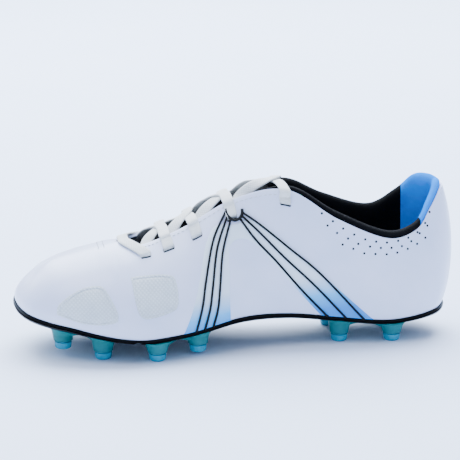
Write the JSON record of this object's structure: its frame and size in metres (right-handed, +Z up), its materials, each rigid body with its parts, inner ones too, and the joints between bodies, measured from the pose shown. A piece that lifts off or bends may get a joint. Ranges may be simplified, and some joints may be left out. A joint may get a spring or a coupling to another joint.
{
  "type": "soccer cleat",
  "caption": "Low left soccer cleat with a white synthetic upper, a side support band with lockdown cords, a collar lining and moulded firm ground studs.",
  "frame": {"origin": "middle of the bounding box in plan, on the plane that the studs stand on", "axes": "-X towards the toe, +X towards the heel, +Z up, -Y the lateral (outer) side of a left foot"},
  "size_m": [0.2838, 0.096, 0.1036],
  "materials": {
    "upper_synthetic": "satin coated synthetic",
    "tongue_face": "satin coated synthetic",
    "grip_pad": "matt embossed",
    "support_band": "printed film, fading from pale to blue",
    "support_cord": "woven cord",
    "lace": "flat woven",
    "lace_tip": "clear film",
    "collar_lining": "brushed knit",
    "heel_lining": "smooth knit",
    "foam": "open cell foam",
    "stiffener": "thermoplastic sheet",
    "insole_board": "needled board",
    "sockliner": "knit over foam",
    "sole_plate": "moulded",
    "stud_base": "translucent moulded",
    "stud_tip": "moulded"
  },
  "bodies": {
    "rearfoot": {"rear_plate": "sole_plate", "rear_insole_board": "insole_board", "sockliner_ball": "sockliner", "vamp_flex_zone": "upper_synthetic", "quarter_lateral": "upper_synthetic", "quarter_medial": "upper_synthetic", "heel_counter": "stiffener", "collar_foam": "foam", "heel_lining": "heel_lining", "collar_lining_lateral": "collar_lining", "collar_lining_medial": "collar_lining", "grip_pad_rear_lateral": "grip_pad", "grip_pad_rear_medial": "grip_pad", "support_band_lateral": "support_band", "support_band_medial": "support_band", "support_cords_lateral": "support_cord", "support_cords_medial": "support_cord", "lace": "lace", "lace_tip_lower": "lace_tip", "lace_tip_upper": "lace_tip", "stud_frame_ball_lateral": "stud_base", "stud_frame_ball_medial": "stud_base", "stud_frame_heel_lateral": "stud_base", "stud_frame_heel_medial": "stud_base", "stud_tip_ball_lateral_front": "stud_tip", "stud_tip_ball_lateral_rear": "stud_tip", "stud_tip_ball_medial_front": "stud_tip", "stud_tip_ball_medial_rear": "stud_tip", "stud_tip_heel_lateral_front": "stud_tip", "stud_tip_heel_lateral_rear": "stud_tip", "stud_tip_heel_medial_front": "stud_tip", "stud_tip_heel_medial_rear": "stud_tip"},
    "forefoot": {"forefoot_plate": "sole_plate", "forefoot_insole_board": "insole_board", "sockliner_forefoot": "sockliner", "vamp": "upper_synthetic", "toe_puff": "stiffener", "grip_pad_front_lateral": "grip_pad", "grip_pad_front_medial": "grip_pad", "stud_frame_toe_lateral": "stud_base", "stud_frame_toe_medial": "stud_base", "stud_tip_toe_lateral_front": "stud_tip", "stud_tip_toe_lateral_rear": "stud_tip", "stud_tip_toe_medial_front": "stud_tip", "stud_tip_toe_medial_rear": "stud_tip"},
    "tongue_flap": {"tongue": "tongue_face", "tongue_lining": "collar_lining"},
    "loose_sockliner": {"sockliner_heel": "sockliner"}
  },
  "joints": [
    {"name": "forefoot_flex", "type": "hinge", "parent": "rearfoot", "child": "forefoot", "pos_m": [-0.0726, 0.00125, 0.0122], "axis": [0, 1, 0], "range_deg": [0, 25], "stiffness_Nm_per_rad": 6, "deforming": ["vamp_flex_zone"]},
    {"name": "tongue_tilt", "type": "hinge", "parent": "rearfoot", "child": "tongue_flap", "pos_m": [-0.0664, 0.00125, 0.0643], "axis": [0, 1, 0], "range_deg": [0, 8], "stiffness_Nm_per_rad": 0.6},
    {"name": "sockliner_lift", "type": "hinge", "parent": "rearfoot", "child": "loose_sockliner", "pos_m": [-0.0211, 0.00125, 0.0224], "axis": [0, -1, 0], "range_deg": [0, 5]}
  ]
}
